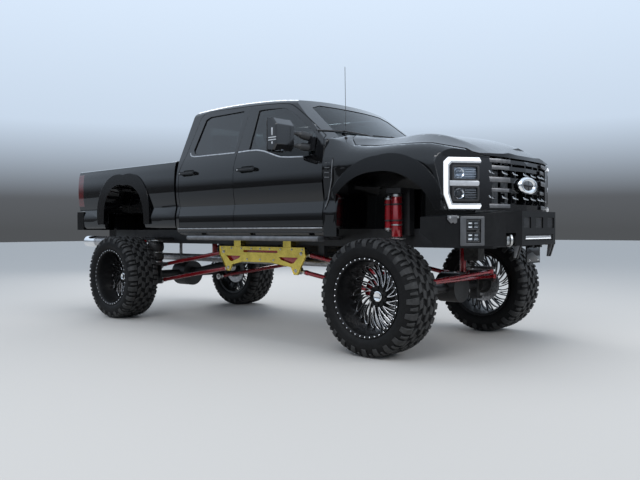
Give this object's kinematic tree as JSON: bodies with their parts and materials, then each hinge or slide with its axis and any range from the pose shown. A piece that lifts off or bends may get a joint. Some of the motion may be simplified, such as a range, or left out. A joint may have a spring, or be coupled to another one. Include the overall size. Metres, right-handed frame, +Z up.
{
  "type": "lifted crew cab pickup truck",
  "caption": "Lifted crew cab pickup truck with long-link suspension, deep-dish wheels on mud tyres, steering, opening doors, bonnet and tailgate, and an open load bed.",
  "frame": {"origin": "on the ground under the middle of the bounding box", "axes": "+X forward, +Y to the vehicle's left, +Z up"},
  "size_m": [6.34, 2.73, 2.6499],
  "materials": {
    "body_paint": "gloss black paint",
    "chassis_black": "satin black",
    "rim_black": "gloss black with milled bright edges",
    "rubber": "matte tyre rubber",
    "glass_dark": "tinted glass",
    "lamp_clear": "clear lamp lens over white light guide",
    "lamp_red": "red lamp lens",
    "bright_bar": "satin grey",
    "chrome": "polished",
    "red_coat": "red powder coat",
    "gold_plate": "gold plated",
    "plastic_black": "textured black",
    "gloss_plastic_black": "gloss black",
    "bellows": "matte black rubber",
    "cast": "rough grey",
    "alloy": "satin",
    "seat_cloth": "dark upholstery"
  },
  "bodies": {
    "chassis": {"cab_shell": "body_paint", "bed": "body_paint", "front_fenders": "body_paint", "frame_rails": "chassis_black", "crossmembers": "chassis_black", "spring_seats": "chassis_black", "shock_towers": "chassis_black", "steering_box": "cast", "hitch": "chassis_black", "front_axle": "chassis_black", "rear_axle": "chassis_black", "driveshafts": "chassis_black", "cab_glass": "glass_dark", "headlamps": "lamp_clear", "tail_lamps": "lamp_red", "bumper_lamps": "lamp_clear", "front_bumper": "chassis_black", "rear_bumper": "body_paint", "grille": "gloss_plastic_black", "side_steps": "plastic_black", "antenna": "plastic_black", "dashboard": "plastic_black", "steering_wheel": "plastic_black", "seats": "seat_cloth", "powertrain": "cast", "radiator": "alloy", "fuel_tank": "plastic_black", "exhaust": "chrome", "suspension_links": "red_coat", "shock_absorbers": "red_coat", "link_brackets": "gold_plate", "air_springs": "bellows"},
    "door_front_left": {"door_front_left": "body_paint", "glass_front_left": "glass_dark", "mirror_left": "plastic_black"},
    "door_front_right": {"door_front_right": "body_paint", "glass_front_right": "glass_dark", "mirror_right": "plastic_black"},
    "door_rear_left": {"door_rear_left": "body_paint", "glass_rear_left": "glass_dark"},
    "door_rear_right": {"door_rear_right": "body_paint", "glass_rear_right": "glass_dark"},
    "bonnet": {"bonnet": "body_paint"},
    "tailgate": {"tailgate": "body_paint"},
    "knuckle_left": {"knuckle_left": "cast"},
    "knuckle_right": {"knuckle_right": "cast"},
    "steering_rods": {"steering_rods": "chassis_black"},
    "pitman_arm": {"pitman_arm": "chassis_black"},
    "wheel_front_left": {"rim_front_left": "rim_black", "tyre_front_left": "rubber"},
    "wheel_front_right": {"rim_front_right": "rim_black", "tyre_front_right": "rubber"},
    "wheel_rear_left": {"rim_rear_left": "rim_black", "tyre_rear_left": "rubber"},
    "wheel_rear_right": {"rim_rear_right": "rim_black", "tyre_rear_right": "rubber"}
  },
  "joints": [
    {"name": "steer_right", "type": "hinge", "parent": "chassis", "child": "knuckle_right", "pos_m": [2.14, -0.76, 0.516], "axis": [0, 0, 1], "range_deg": [-25, 25]},
    {"name": "steer_left", "type": "hinge", "parent": "chassis", "child": "knuckle_left", "pos_m": [2.14, 0.76, 0.516], "axis": [0, 0, 1], "range_deg": [-25, 25]},
    {"name": "tie_rod_pin", "type": "hinge", "parent": "knuckle_right", "child": "steering_rods", "pos_m": [2.335, -0.76, 0.572], "axis": [0, 0, 1], "range_deg": [-25, 25]},
    {"name": "pitman_pivot", "type": "hinge", "parent": "chassis", "child": "pitman_arm", "pos_m": [2.33, 0.33, 0.72], "axis": [0, 0, 1], "range_deg": [-25, 25]},
    {"name": "spin_front_left", "type": "hinge", "parent": "knuckle_left", "child": "wheel_front_left", "pos_m": [2.14, 1.011, 0.516], "axis": [0, 1, 0], "continuous": true},
    {"name": "spin_front_right", "type": "hinge", "parent": "knuckle_right", "child": "wheel_front_right", "pos_m": [2.14, -1.011, 0.516], "axis": [0, 1, 0], "continuous": true},
    {"name": "spin_rear_left", "type": "hinge", "parent": "chassis", "child": "wheel_rear_left", "pos_m": [-1.92, 1.011, 0.516], "axis": [0, 1, 0], "continuous": true},
    {"name": "spin_rear_right", "type": "hinge", "parent": "chassis", "child": "wheel_rear_right", "pos_m": [-1.92, -1.011, 0.516], "axis": [0, 1, 0], "continuous": true},
    {"name": "door_front_left_hinge", "type": "hinge", "parent": "chassis", "child": "door_front_left", "pos_m": [1.497, 1.014, 1.5], "axis": [0, 0, -1], "range_deg": [0, 68]},
    {"name": "door_front_right_hinge", "type": "hinge", "parent": "chassis", "child": "door_front_right", "pos_m": [1.497, -1.014, 1.5], "axis": [0, 0, 1], "range_deg": [0, 68]},
    {"name": "door_rear_left_hinge", "type": "hinge", "parent": "chassis", "child": "door_rear_left", "pos_m": [0.228, 1.014, 1.5], "axis": [0, 0, -1], "range_deg": [0, 65]},
    {"name": "door_rear_right_hinge", "type": "hinge", "parent": "chassis", "child": "door_rear_right", "pos_m": [0.228, -1.014, 1.5], "axis": [0, 0, 1], "range_deg": [0, 65]},
    {"name": "bonnet_hinge", "type": "hinge", "parent": "chassis", "child": "bonnet", "pos_m": [1.62, 0, 1.985], "axis": [0, -1, 0], "range_deg": [0, 40]},
    {"name": "tailgate_hinge", "type": "hinge", "parent": "chassis", "child": "tailgate", "pos_m": [-2.985, 0, 1.405], "axis": [0, -1, 0], "range_deg": [0, 90]}
  ],
  "couplings": [
    {"joint": "steer_left", "follows": "steer_right", "ratio": 1},
    {"joint": "tie_rod_pin", "follows": "steer_right", "ratio": -1},
    {"joint": "pitman_pivot", "follows": "steer_right", "ratio": 1}
  ]
}
